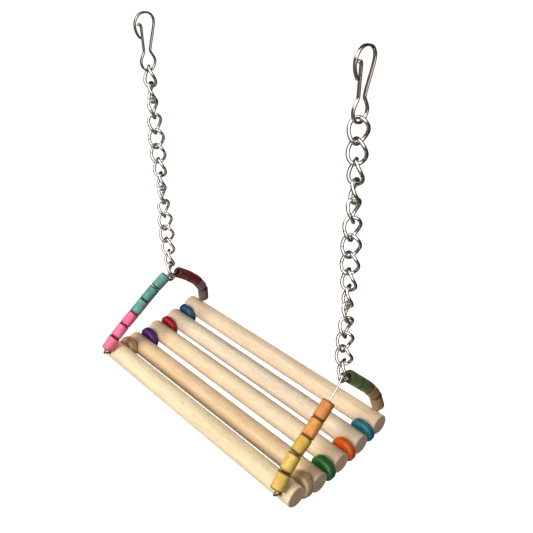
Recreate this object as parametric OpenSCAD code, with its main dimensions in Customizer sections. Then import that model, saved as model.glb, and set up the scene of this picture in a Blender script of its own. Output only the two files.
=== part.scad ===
// Hanging bird bench: five dowels on two bent wires with coloured beads,
// hung by two chains of twisted links from two strip clips.
// Millimetres. X runs along the dowels, Z is up. The origin is the middle of
// the line that joins the two clip seats, where the bench hangs from a perch.

/* [Chain] */

// Round wire of a link, diameter
link_wire = 2.0; // [1.2:0.1:3]
// Link length over all
link_length = 14.93; // [10:0.01:20]
// Link width over all
link_width = 11.6; // [7:0.1:16]
// Twist of each link from its lower bow to its upper bow, degrees
link_twist = 80; // [0:1:90]
// Free play between two links that hang in each other
link_play = 0.4; // [0:0.05:0.6]
// Distance of each chain from the dowel ends, along the dowels
chain_inset = 13.2; // [8:0.1:30]
// Distance of both chains behind the middle dowel
chain_y = 13.4; // [-20:0.1:20]
// Height of the left chain's lowest bow above the bench
left_apex_z = 46.9; // [40:0.1:60]
// Height of the right chain's lowest bow above the bench
right_apex_z = 51.5; // [40:0.1:60]
// Heading of the first left link, degrees
left_phase = 1; // [-180:1:180]
// Turn from one left link to the next, degrees
left_phase_step = -28.4; // [-90:0.1:90]
// Headings of right links 1, 5, 9, 13 and 15, degrees
right_phases = [50, -78, -188, -296, -388];

/* [Bench] */

// Dowel diameter
dowel_d = 14; // [8:0.5:20]
// Dowel length
dowel_length = 199; // [120:1:260]
// Edge break at the dowel ends
dowel_chamfer = 0.5; // [0:0.1:1.5]
// Centre of the middle dowel, distance behind the middle of the bench
middle_dowel_y = 0.6; // [-2:0.1:2]
// Level gaps between neighbouring dowels, from front to back
dowel_gaps = [5.8, 6.2, 4.9, 4.9];
// Dowel centres from front to back, rise above the bail line
dowel_z = [3.5, -2.1, -2.1, -1.1, 1.8];
// Slope of the wire through each dowel, degrees
dowel_bore_slope = [-24, -9, 0, 6, 17];
// Hole through a dowel
dowel_bore_d = 3.2; // [1.5:0.1:5]
// Back edge of the bench hangs higher by this angle, degrees
bench_tilt = 3.3; // [-10:0.1:10]
// Distance of the left wire holes from the left dowel ends
left_hole_inset = 7.9; // [5:0.1:20]
// Distance of the right wire holes from the right dowel ends
right_hole_inset = 6.3; // [5:0.1:20]

/* [Spacers] */

// Spacer diameter
spacer_d = 17; // [10:0.1:20]
// Gap left between a spacer and its dowels, both sides together
spacer_play = 0.1; // [0:0.05:1]
// Rounding of the spacer rim, share of half its thickness
spacer_round = 0.62; // [0.2:0.01:1]
// Spacer bore
spacer_bore_d = 3.0; // [1.5:0.1:5]

/* [Bails] */

// Bail wire diameter
wire_d = 1.3; // [0.8:0.1:2]
// Radius of the hooks round the last link, to the middle of the wire
hook_r = 2.4; // [1.8:0.1:4]
// Sideways distance between the front and the back hook
hook_pitch = 1.6; // [1.4:0.1:4]
// Length of the cut tail after each hook
hook_tail = 2.4; // [0:0.1:6]
// Left front leg: share of the way from the front dowel to the apex, and bulge off that line
left_front_leg = [[-0.031, 4.6], [0.014, 5.3], [0.157, 6.6], [0.304, 7.0], [0.464, 6.8], [0.631, 6.9], [0.804, 6.9], [0.983, 5.6]];
// Left back leg, from the back dowel
left_back_leg = [[0.014, -1.3], [0.043, -3.2], [0.224, -9.0], [0.446, -10.6], [0.684, -9.2], [0.934, -6.8]];
// Right front leg
right_front_leg = [[-0.025, 4.9], [0.017, 5.3], [0.153, 6.4], [0.305, 6.1], [0.469, 3.8], [0.628, 2.1], [0.799, 0.8], [0.895, 0.5]];
// Right back leg
right_back_leg = [[0.018, -1.3], [0.059, -3.3], [0.246, -7.2], [0.461, -7.2], [0.684, -5.4], [0.905, -3.6]];

/* [Beads] */

// Tube bead diameter
bead_d = 8.4; // [5:0.1:12]
// Length of the lower tube beads of each leg
low_bead_length = 10.9; // [6:0.1:20]
// Length of the upper tube beads
high_bead_length = 12; // [6:0.1:20]
// Rounding of the bead ends
bead_round = 0.9; // [0.2:0.1:2]
// Tube bead bore
bead_bore_d = 3.0; // [1.5:0.1:5]
// Least gap between two beads; a bend in the wire adds to it
bead_play = 0.25; // [0:0.05:3]

/* [Clips] */

// Strip thickness
clip_thickness = 1.1; // [0.5:0.1:2]
// Strip width
clip_width = 1.8; // [1:0.1:5]
// Right clip hangs back by this angle, degrees
right_clip_lean = 3; // [-10:0.5:10]
// Clearance between the clip eye and the first link
clip_play = 1.0; // [0:0.1:2]
// Middle line of the strip from the gate tip round the eye to the hook lip:
// distance behind the chain and rise above the eye floor
clip_line = [[-4.8, 27.5], [-3.7, 28.3], [-2.7, 27.2], [-2.5, 24.1], [-2.5, 18.4], [-2.4, 13.2], [-2.6, 11.0],
    [-4.1, 8.5], [-5.3, 5.6], [-4.9, 2.9], [-3.1, 0.5], [-1.2, -0.55], [1.2, -0.55], [3.1, 0.5], [4.9, 2.9], [5.3, 5.6],
    [3.8, 8.7], [2.4, 11.0], [2.9, 14.1], [4.6, 19.4], [6.3, 24.6], [7.1, 28.0], [6.8, 31.0], [4.8, 33.5], [1.6, 34.6],
    [-2.1, 34.35], [-5.1, 32.3], [-6.8, 29.3], [-7.0, 26.1], [-6.2, 23.2], [-4.9, 20.9], [-4.0, 19.8]];

/* [View] */

// Node to show

/* [Hidden] */

$fn = 48;
link_count = 15;
link_rings = 20;
link_sides = 8;
wire_sides = 6;
colour_steel = [0.74, 0.74, 0.75];
colour_wood = [0.87, 0.76, 0.60];

chain_x = dowel_length / 2 - chain_inset;
left_hole_x = dowel_length / 2 - left_hole_inset;
right_hole_x = dowel_length / 2 - right_hole_inset;
step_1 = dowel_d + dowel_gaps[0];
step_2 = dowel_d + dowel_gaps[1];
step_3 = dowel_d + dowel_gaps[2];
step_4 = dowel_d + dowel_gaps[3];
dowel_y = [for (from_middle = [-step_1 - step_2, -step_2, 0, step_3, step_3 + step_4]) middle_dowel_y + from_middle];
pitch = link_length - 2 * link_wire - link_play;
clip_seat = 34.05;
left_top_z = left_apex_z - link_wire / 2 + (link_count - 1) * pitch + link_length;
right_top_z = left_top_z + right_apex_z - left_apex_z;
left_eye_z = left_top_z - link_wire - clip_play;
right_eye_z = right_top_z - link_wire - clip_play;
hang_z = (left_eye_z + right_eye_z) / 2 + clip_seat;

// Vector helpers
function unit(v) = v / norm(v);
function lerp(a, b, t) = a + (b - a) * t;

// Smooth curve through points, with n steps from one point to the next
function spline_point(a, b, c, d, t) =
    0.5 * ((2 * b) + (c - a) * t + (2 * a - 5 * b + 4 * c - d) * t * t + (3 * b - a - 3 * c + d) * t * t * t);
function spline(p, n) = let (m = len(p)) [
    for (i = [0 : m - 2]) for (k = [0 : n - 1])
        spline_point(p[max(i - 1, 0)], p[i], p[i + 1], p[min(i + 2, m - 1)], k / n),
    p[m - 1]];

// Length along a curve, and the point at a given length
function run_lengths(p, i = 0, s = 0, out = []) =
    i == len(p) ? out
    : run_lengths(p, i + 1, i + 1 < len(p) ? s + norm(p[i + 1] - p[i]) : s, concat(out, [s]));
function point_at(p, s, lengths) =
    let (k = max([for (i = [0 : len(p) - 2]) if (i == 0 || lengths[i] <= s) i]))
    lerp(p[k], p[k + 1], (s - lengths[k]) / (lengths[k + 1] - lengths[k]));

// Round wire swept along an open curve that stays near the YZ plane
module swept_wire(p, d, sides) {
    n = len(p);
    tangents = [for (i = [0 : n - 1]) unit(p[min(i + 1, n - 1)] - p[max(i - 1, 0)])];
    rings = [for (i = [0 : n - 1])
        let (t = tangents[i], a = unit([1, 0, 0] - t * t[0]), b = cross(t, a))
        for (j = [0 : sides - 1]) p[i] + d / 2 * (cos(360 * j / sides) * a + sin(360 * j / sides) * b)];
    walls = [for (i = [0 : n - 2]) for (j = [0 : sides - 1])
        let (a = i * sides + j, b = i * sides + (j + 1) % sides)
        each [[a, a + sides, b + sides], [a, b + sides, b]]];
    ends = [[for (j = [0 : sides - 1]) j], [for (j = [0 : sides - 1]) n * sides - 1 - j]];
    polyhedron(points = rings, faces = concat(walls, ends), convexity = 8);
}

// Chain links
function link_point(t, a, b, phase) =
    let (z = a * cos(t), x = b * sign(sin(t)) * pow(abs(sin(t)), 0.9), turn = phase - link_twist * z / (2 * a))
    [x * cos(turn), x * sin(turn), z];
function right_phase(i) =
    let (k = i <= 5 ? 0 : i <= 9 ? 1 : i <= 13 ? 2 : 3, knots = [1, 5, 9, 13, 15])
    lerp(right_phases[k], right_phases[k + 1], (i - knots[k]) / (knots[k + 1] - knots[k]));

module link_body(phase) {
    a = (link_length - link_wire) / 2;
    b = (link_width - link_wire) / 2;
    n = link_rings;
    rings = [for (i = [0 : n - 1])
        let (t = 360 * (i + 0.5) / n, p = link_point(t, a, b, phase),
            v = unit(link_point(t + 1, a, b, phase) - link_point(t - 1, a, b, phase)),
            turn = phase - link_twist * p[2] / (2 * a),
            side = [-sin(turn), cos(turn), 0], s = unit(side - v * (side * v)), u = cross(v, s))
        for (j = [0 : link_sides - 1])
            p + link_wire / 2 * (cos(360 * (j + 0.5) / link_sides) * s + sin(360 * (j + 0.5) / link_sides) * u)];
    walls = [for (i = [0 : n - 1]) for (j = [0 : link_sides - 1])
        let (a = i * link_sides + j, b = i * link_sides + (j + 1) % link_sides,
            c = ((i + 1) % n) * link_sides + j, d = ((i + 1) % n) * link_sides + (j + 1) % link_sides)
        each [[a, c, d], [a, d, b]]];
    polyhedron(points = rings, faces = walls, convexity = 6);
}

module left_link(i) {
    color(colour_steel)
    translate([-chain_x, 0, left_top_z - hang_z - link_length / 2 - (i - 1) * pitch])
        link_body(left_phase + (i - 1) * left_phase_step);
}

module right_link(i) {
    color(colour_steel)
    translate([chain_x, 0, right_top_z - hang_z - link_length / 2 - (i - 1) * pitch])
        link_body(right_phase(i));
}

// Clips: one bent strip each
function strip_outline(p, half) = let (n = len(p),
    normals = [for (i = [0 : n - 1]) let (t = unit(p[min(i + 1, n - 1)] - p[max(i - 1, 0)])) [-t[1], t[0]]])
    concat([for (i = [0 : n - 1]) p[i] + half * normals[i]],
        [for (i = [n - 1 : -1 : 0]) p[i] - half * normals[i]]);

module clip_strip() {
    rotate([90, 0, 90])
    translate([0, 0, -clip_width / 2])
    linear_extrude(height = clip_width)
        polygon(strip_outline(spline(clip_line, 3), clip_thickness / 2));
}

module left_clip() {
    color(colour_steel) translate([-chain_x, 0, left_eye_z - hang_z]) clip_strip();
}

module right_clip() {
    color(colour_steel) translate([chain_x, 0, right_eye_z - hang_z]) rotate([-right_clip_lean, 0, 0]) clip_strip();
}

// Bail planes: X is off the plane, Y along the wire line of the bench, Z up the bail
function apex(side) = let (z = side < 0 ? left_apex_z : right_apex_z,
    x = (side < 0 ? left_hole_x : right_hole_x) - chain_x,
    y_along = chain_y * cos(bench_tilt) + z * sin(bench_tilt),
    z_above = z * cos(bench_tilt) - chain_y * sin(bench_tilt))
    [y_along, norm([x, z_above]), atan2(x, z_above)];

module bail_frame(side) {
    translate([side * (side < 0 ? left_hole_x : right_hole_x), -chain_y, -hang_z])
    rotate([bench_tilt, 0, 0])
    rotate([0, -side * apex(side)[2], 0])
        children();
}

// The wire through the bench: straight inside each dowel, curved between them
function on_bore(i, e) = [dowel_y[i] + e * cos(dowel_bore_slope[i]), dowel_z[i] + e * sin(dowel_bore_slope[i])];
straight_run = dowel_d / 2 - 1;
floor_line = [for (i = [0 : 4]) for (e = [-straight_run, straight_run]) on_bore(i, e)];

// Legs from the dowel to the hook, and the hooks themselves
function front_hook(side) = let (c = apex(side))
    [for (a = [118 : -27 : -125]) [c[0] + hook_r * cos(a), c[1] + hook_r * sin(a)]];
function back_hook(side) = let (c = apex(side))
    [for (a = [50 : 27 : 293]) [c[0] + hook_r * cos(a), c[1] + hook_r * sin(a)]];
function leg(foot, side, shape) = let (c = apex(side), way = [c[0], c[1]] - foot, off = unit([-way[1], way[0]]))
    [for (q = shape) foot + q[0] * way + q[1] * off];
function front_leg(side) = leg(on_bore(0, -dowel_d / 2), side, side < 0 ? left_front_leg : right_front_leg);
function back_leg(side) = leg(on_bore(4, dowel_d / 2), side, side < 0 ? left_back_leg : right_back_leg);
function front_curve(side) = spline(concat([floor_line[0]], front_leg(side), [front_hook(side)[0]]), 3);
function back_curve(side) = spline(concat([floor_line[9]], back_leg(side), [back_hook(side)[0]]), 3);
function with_tail(p) = let (n = len(p)) concat(p, [p[n - 1] + hook_tail * unit(p[n - 1] - p[n - 2])]);

// Off-plane shift: none along the leg, half the hook pitch at the hook
function shifted(p, from, to, shift) = let (n = len(p))
    [for (i = [0 : n - 1]) [shift * min(max((i - from) / (to - from), 0), 1), p[i][0], p[i][1]]];
function reversed(p) = [for (i = [len(p) - 1 : -1 : 0]) p[i]];

module bail_wire(side) {
    f = front_curve(side);
    b = back_curve(side);
    front = shifted(concat(f, with_tail([for (i = [1 : len(front_hook(side)) - 1]) front_hook(side)[i]])),
        len(f) - 6, len(f) - 1, hook_pitch / 2);
    back = shifted(concat(b, with_tail([for (i = [1 : len(back_hook(side)) - 1]) back_hook(side)[i]])),
        len(b) - 6, len(b) - 1, -hook_pitch / 2);
    floor_curve = spline(floor_line, 2);
    middle = [for (i = [1 : len(floor_curve) - 2]) [0, floor_curve[i][0], floor_curve[i][1]]];
    bail_frame(side) swept_wire(concat(reversed(front), middle, back), wire_d, wire_sides);
}

module left_wire() { color(colour_steel) bail_wire(-1); }
module right_wire() { color(colour_steel) bail_wire(1); }

// Dowels, with one slanting hole for each wire
module dowel(i) {
    color(colour_wood)
    difference() {
        translate([0, -chain_y, -hang_z]) rotate([bench_tilt, 0, 0]) translate([0, dowel_y[i], dowel_z[i]])
            rotate([0, 90, 0]) union() {
                translate([0, 0, -dowel_length / 2]) cylinder(d1 = dowel_d - 2 * dowel_chamfer, d2 = dowel_d, h = dowel_chamfer);
                translate([0, 0, -dowel_length / 2 + dowel_chamfer]) cylinder(d = dowel_d, h = dowel_length - 2 * dowel_chamfer);
                translate([0, 0, dowel_length / 2 - dowel_chamfer]) cylinder(d1 = dowel_d, d2 = dowel_d - 2 * dowel_chamfer, h = dowel_chamfer);
            }
        for (side = [-1, 1])
            bail_frame(side) translate([0, dowel_y[i], dowel_z[i]]) rotate([dowel_bore_slope[i] - 90, 0, 0])
                translate([0, 0, -dowel_d]) cylinder(d = dowel_bore_d, h = 2 * dowel_d);
    }
}

module dowel_1() dowel(0);
module dowel_2() dowel(1);
module dowel_3() dowel(2);
module dowel_4() dowel(3);
module dowel_5() dowel(4);

// Spacers: flat faces and a round rim
function spacer_run(i) = norm([dowel_y[i + 1] - dowel_y[i], dowel_z[i + 1] - dowel_z[i]]);
function spacer_slope(i) = atan2(dowel_z[i + 1] - dowel_z[i], dowel_y[i + 1] - dowel_y[i]);

module spacer(side, i, paint) {
    thick = spacer_run(i) - dowel_d - spacer_play;
    rim = thick / 2;
    round = rim * spacer_round;
    color(paint)
    bail_frame(side)
    translate([0, (dowel_y[i] + dowel_y[i + 1]) / 2, (dowel_z[i] + dowel_z[i + 1]) / 2])
    rotate([spacer_slope(i) - 90, 0, 0])
    rotate_extrude($fn = 64)
        polygon(concat([[spacer_bore_d / 2, -rim], [spacer_bore_d / 2, rim]],
            [for (a = [90 : -15 : 0]) [spacer_d / 2 - round + round * cos(a), rim - round + round * sin(a)]],
            [for (a = [0 : -15 : -90]) [spacer_d / 2 - round + round * cos(a), round - rim + round * sin(a)]]));
}

module left_spacer_1() spacer(-1, 0, [0.80, 0.66, 0.45]);
module left_spacer_2() spacer(-1, 1, [0.27, 0.12, 0.45]);
module left_spacer_3() spacer(-1, 2, [0.72, 0.08, 0.12]);
module left_spacer_4() spacer(-1, 3, [0.03, 0.30, 0.44]);
module right_spacer_1() spacer(1, 0, [0.80, 0.66, 0.45]);
module right_spacer_2() spacer(1, 1, [0.10, 0.38, 0.18]);
module right_spacer_3() spacer(1, 2, [0.88, 0.36, 0.08]);
module right_spacer_4() spacer(1, 3, [0.10, 0.46, 0.48]);

// Tube beads, stacked from the dowel up each leg
module tube_bead(size) {
    r = bead_d / 2;
    h = size / 2;
    rotate_extrude($fn = 48)
        polygon(concat([[bead_bore_d / 2, -h], [bead_bore_d / 2, h]],
            [for (a = [90 : -22.5 : 0]) [r - bead_round + bead_round * cos(a), h - bead_round + bead_round * sin(a)]],
            [for (a = [0 : -22.5 : -90]) [r - bead_round + bead_round * cos(a), -h + bead_round + bead_round * sin(a)]]));
}

function bead_size(k, low) = k < low ? low_bead_length : high_bead_length;
function bead_heading(leg, s, size, lengths) =
    let (v = point_at(leg, s + size, lengths) - point_at(leg, s, lengths)) atan2(v[1], v[0]);
function bead_start(leg, k, low, lengths) = k == 0 ? 0
    : let (s = bead_start(leg, k - 1, low, lengths), size = bead_size(k - 1, low), next = s + size + bead_play,
        bend = abs(bead_heading(leg, next + 0.8, bead_size(k, low), lengths) - bead_heading(leg, s, size, lengths)))
        next + (bead_d - bead_round) * tan(bend / 2);

module beads(side, leg, low, from, to, paint) {
    lengths = run_lengths(leg);
    color(paint)
    bail_frame(side)
    for (k = [from : to]) {
        s = bead_start(leg, k, low, lengths);
        a = point_at(leg, s, lengths);
        b = point_at(leg, s + bead_size(k, low), lengths);
        translate([0, (a[0] + b[0]) / 2, (a[1] + b[1]) / 2])
        rotate([atan2(b[1] - a[1], b[0] - a[0]) - 90, 0, 0])
            tube_bead(bead_size(k, low));
    }
}

// The part of a leg that carries beads starts one point above the bend
function bead_run(curve) = [for (i = [6 : len(curve) - 1]) curve[i]];

module left_front_beads_low() beads(-1, bead_run(front_curve(-1)), 3, 0, 2, [0.90, 0.33, 0.50]);
module left_front_beads_high() beads(-1, bead_run(front_curve(-1)), 3, 3, 5, [0.42, 0.66, 0.63]);
module left_back_beads_low() beads(-1, bead_run(back_curve(-1)), 2, 0, 1, [0.42, 0.30, 0.33]);
module left_back_beads_high() beads(-1, bead_run(back_curve(-1)), 2, 2, 3, [0.42, 0.11, 0.11]);
module right_front_beads_low() beads(1, bead_run(front_curve(1)), 3, 0, 2, [0.88, 0.74, 0.38]);
module right_front_beads_high() beads(1, bead_run(front_curve(1)), 3, 3, 4, [0.86, 0.52, 0.24]);
module right_back_beads_low() beads(1, bead_run(back_curve(1)), 2, 0, 1, [0.62, 0.49, 0.35]);
module right_back_beads_high() beads(1, bead_run(back_curve(1)), 2, 2, 3, [0.30, 0.37, 0.23]);

module left_link_1() left_link(1);
module left_link_2() left_link(2);
module left_link_3() left_link(3);
module left_link_4() left_link(4);
module left_link_5() left_link(5);
module left_link_6() left_link(6);
module left_link_7() left_link(7);
module left_link_8() left_link(8);
module left_link_9() left_link(9);
module left_link_10() left_link(10);
module left_link_11() left_link(11);
module left_link_12() left_link(12);
module left_link_13() left_link(13);
module left_link_14() left_link(14);
module left_link_15() left_link(15);
module right_link_1() right_link(1);
module right_link_2() right_link(2);
module right_link_3() right_link(3);
module right_link_4() right_link(4);
module right_link_5() right_link(5);
module right_link_6() right_link(6);
module right_link_7() right_link(7);
module right_link_8() right_link(8);
module right_link_9() right_link(9);
module right_link_10() right_link(10);
module right_link_11() right_link(11);
module right_link_12() right_link(12);
module right_link_13() right_link(13);
module right_link_14() right_link(14);
module right_link_15() right_link(15);

left_clip();
right_clip();
left_link_1();
left_link_2();
left_link_3();
left_link_4();
left_link_5();
left_link_6();
left_link_7();
left_link_8();
left_link_9();
left_link_10();
left_link_11();
left_link_12();
left_link_13();
left_link_14();
left_link_15();
right_link_1();
right_link_2();
right_link_3();
right_link_4();
right_link_5();
right_link_6();
right_link_7();
right_link_8();
right_link_9();
right_link_10();
right_link_11();
right_link_12();
right_link_13();
right_link_14();
right_link_15();
left_wire();
right_wire();
dowel_1();
dowel_2();
dowel_3();
dowel_4();
dowel_5();
left_spacer_1();
left_spacer_2();
left_spacer_3();
left_spacer_4();
right_spacer_1();
right_spacer_2();
right_spacer_3();
right_spacer_4();
left_front_beads_low();
left_front_beads_high();
left_back_beads_low();
left_back_beads_high();
right_front_beads_low();
right_front_beads_high();
right_back_beads_low();
right_back_beads_high();
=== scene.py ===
"""Hanging bird bench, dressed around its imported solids.

Five wooden dowels hang on two bent wires with painted spacers and dyed tube
beads. Two chains of twisted links carry the wires from two bent strip clips.
Sizes are named in millimetres. Meshes are in metres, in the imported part's frame.
"""

import logging
import math
from dataclasses import dataclass
from enum import Enum
from typing import Any, ClassVar, Iterable, Optional, Sequence, Union

import bpy
from mathutils import Matrix, Vector


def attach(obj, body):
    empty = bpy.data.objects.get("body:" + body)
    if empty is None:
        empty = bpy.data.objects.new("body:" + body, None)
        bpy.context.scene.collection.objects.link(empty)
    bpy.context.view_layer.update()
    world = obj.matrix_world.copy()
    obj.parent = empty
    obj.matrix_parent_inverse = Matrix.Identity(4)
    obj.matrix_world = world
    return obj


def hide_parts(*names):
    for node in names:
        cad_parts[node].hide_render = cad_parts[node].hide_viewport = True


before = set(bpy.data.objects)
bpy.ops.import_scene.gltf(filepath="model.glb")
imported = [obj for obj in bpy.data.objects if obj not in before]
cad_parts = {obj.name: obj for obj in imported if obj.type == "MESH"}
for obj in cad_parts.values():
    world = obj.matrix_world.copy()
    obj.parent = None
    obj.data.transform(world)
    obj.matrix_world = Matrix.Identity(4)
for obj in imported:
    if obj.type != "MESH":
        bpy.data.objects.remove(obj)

LOG = logging.getLogger("bird_bench")
MM = 0.001
FLOAT, COUNT, VECTOR = "NodeSocketFloat", "NodeSocketInt", "NodeSocketVector"
WHITE = (1.0, 1.0, 1.0, 1.0)
# Where a link's butt seam is, as a share of the way round its wire
SEAM_AT = 0.25

Socket = bpy.types.NodeSocket
Number = Union[float, Socket]
Triple = tuple[float, float, float]
Shown = tuple[int, int, int]
Tint = Union[Triple, Socket]


class Side(Enum):
    """The two ends of the bench, with their sign along X."""

    LEFT = -1
    RIGHT = 1

    @property
    def word(self) -> str:
        """The side's name as the nodes have it."""
        return self.name.lower()


class Leg(Enum):
    """The two legs of a bail."""

    FRONT = "front"
    BACK = "back"


class Tier(Enum):
    """The two groups of beads on a leg."""

    LOW = "low"
    HIGH = "high"


@dataclass(frozen=True)
class Sizes:
    """Driving sizes of the part in millimetres, as its solids have them."""

    link_wire: float = 2.0
    link_length: float = 14.93
    link_width: float = 11.6
    link_twist: float = 80.0
    link_play: float = 0.4
    link_count: int = 15
    chain_inset: float = 13.2
    chain_y: float = 13.4
    left_apex_z: float = 46.9
    right_apex_z: float = 51.5
    left_phase: float = 1.0
    left_phase_step: float = -28.4
    right_phase_knots: tuple[int, ...] = (1, 5, 9, 13, 15)
    right_phases: tuple[float, ...] = (50.0, -78.0, -188.0, -296.0, -388.0)
    dowel_d: float = 14.0
    dowel_length: float = 199.0
    middle_dowel_y: float = 0.6
    dowel_gaps: tuple[float, ...] = (5.8, 6.2, 4.9, 4.9)
    dowel_z: tuple[float, ...] = (3.5, -2.1, -2.1, -1.1, 1.8)
    dowel_bore_slope: tuple[float, ...] = (-24.0, -9.0, 0.0, 6.0, 17.0)
    bench_tilt: float = 3.3
    left_hole_inset: float = 7.9
    right_hole_inset: float = 6.3
    spacer_d: float = 17.0
    spacer_play: float = 0.1
    spacer_round: float = 0.62
    spacer_bore_d: float = 3.0
    wire_d: float = 1.3
    hook_r: float = 2.4
    hook_pitch: float = 1.6
    hook_tail: float = 2.4
    bead_d: float = 8.4
    low_bead_length: float = 10.9
    high_bead_length: float = 12.0
    bead_round: float = 0.9
    bead_bore_d: float = 3.0
    bead_play: float = 0.25
    clip_thickness: float = 1.1
    clip_width: float = 1.8
    clip_play: float = 1.0
    right_clip_lean: float = 3.0
    clip_seat: float = 34.05

    @property
    def pitch(self) -> float:
        """Height from one link to the next."""
        return self.link_length - 2 * self.link_wire - self.link_play

    @property
    def chain_x(self) -> float:
        """Distance of each chain from the middle of the bench."""
        return self.dowel_length / 2 - self.chain_inset

    @property
    def dowel_y(self) -> tuple[float, ...]:
        """Dowel centres.

        Returns:
            Their distances behind the middle, from front to back.
        """
        one, two, three, four = (self.dowel_d + gap for gap in self.dowel_gaps)
        steps = (-one - two, -two, 0.0, three, three + four)
        return tuple(self.middle_dowel_y + step for step in steps)

    @property
    def left_top_z(self) -> float:
        """Height of the left chain's top above the bench."""
        chain = (self.link_count - 1) * self.pitch + self.link_length
        return self.left_apex_z - self.link_wire / 2 + chain

    @property
    def hang_z(self) -> float:
        """Height of the clip seats above the bench."""
        rise = (self.right_apex_z - self.left_apex_z) / 2
        return self.left_top_z + rise - self.link_wire - self.clip_play + self.clip_seat

    def apex_z(self, side: Side) -> float:
        """Height of a chain's lowest bow above the bench."""
        return self.left_apex_z if side is Side.LEFT else self.right_apex_z

    def top_z(self, side: Side) -> float:
        """Height of a chain's top above the bench."""
        return self.left_top_z + self.apex_z(side) - self.left_apex_z

    def hole_x(self, side: Side) -> float:
        """Distance of the wire holes from the middle of the bench."""
        inset = self.left_hole_inset if side is Side.LEFT else self.right_hole_inset
        return self.dowel_length / 2 - inset

    def dowel_middle(self, number: int) -> Vector:
        """Middle of a dowel, counted from 1 at the front, in the bench's own plane."""
        return Vector((0.0, self.dowel_y[number - 1], self.dowel_z[number - 1]))

    def link_heading(self, side: Side, number: int) -> float:
        """Heading of a link in degrees.

        Args:
            side: The chain's side.
            number: The link's number from the top, from 1.

        Returns:
            The heading of the link's middle plane.
        """
        if side is Side.LEFT:
            return self.left_phase + (number - 1) * self.left_phase_step
        knots = self.right_phase_knots
        k = max(i for i in range(len(knots) - 1) if i == 0 or knots[i] < number)
        share = (number - knots[k]) / (knots[k + 1] - knots[k])
        return self.right_phases[k] + share * (self.right_phases[k + 1] - self.right_phases[k])


SIZES = Sizes()


def linear(red: int, green: int, blue: int) -> Triple:
    """A colour in linear light.

    Args:
        red: Its red as displayed, from 0 to 255.
        green: Its green.
        blue: Its blue.

    Returns:
        The three channels from 0 to 1.
    """
    shares = (red / 255, green / 255, blue / 255)
    return tuple(share / 12.92 if share <= 0.04045 else ((share + 0.055) / 1.055) ** 2.4
                 for share in shares)


def put_in_scene(name: str, data: bpy.types.ID) -> bpy.types.Object:
    """A new object at the origin, linked into the scene.

    Args:
        name: The object's name.
        data: Its mesh, lamp or camera.

    Returns:
        The object.
    """
    made = bpy.data.objects.new(name, data)
    bpy.context.scene.collection.objects.link(made)
    return made


def path_mesh(points: Iterable[Vector], joined: bool = True) -> bpy.types.Mesh:
    """A mesh of bare points.

    Args:
        points: The points in metres.
        joined: Whether edges join them in a line.

    Returns:
        The mesh.
    """
    rows = [tuple(point) for point in points]
    edges = [(i, i + 1) for i in range(len(rows) - 1)] if joined else []
    mesh = bpy.data.meshes.new("path")
    mesh.from_pydata(rows, edges, [])
    return mesh


def spline(points: Sequence[Vector], steps: int) -> list[Vector]:
    """Smooth curve through points.

    Args:
        points: The points that the curve passes.
        steps: Steps from one point to the next.

    Returns:
        The points of the curve, its two ends among them.
    """
    last = len(points) - 1
    out = []
    for i in range(last):
        a, b = points[max(i - 1, 0)], points[i]
        c, d = points[i + 1], points[min(i + 2, last)]
        for k in range(steps):
            t = k / steps
            out.append(0.5 * (2 * b + (c - a) * t + (2 * a - 5 * b + 4 * c - d) * t ** 2
                              + (3 * b - a - 3 * c + d) * t ** 3))
    return out + [points[last].copy()]


class Route:
    """A line of points, measured along its length."""

    def __init__(self, points: Sequence[Vector]) -> None:
        """Adds up the line's length.

        Args:
            points: The line's points.
        """
        self.points = points
        self.lengths = [0.0]
        for a, b in zip(points, points[1:]):
            self.lengths.append(self.lengths[-1] + (b - a).length)

    def at(self, run: float) -> Vector:
        """The point at a distance along the line.

        Args:
            run: The distance, which may go past the line's end.

        Returns:
            The point.
        """
        k = max(i for i in range(len(self.points) - 1) if i == 0 or self.lengths[i] <= run)
        share = (run - self.lengths[k]) / (self.lengths[k + 1] - self.lengths[k])
        return self.points[k].lerp(self.points[k + 1], share)

    def slope(self, run: float, size: float) -> float:
        """The slope, in radians, of a chord that starts at a distance along the line."""
        way = self.at(run + size) - self.at(run)
        return math.atan2(way.z, way.y)


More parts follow.
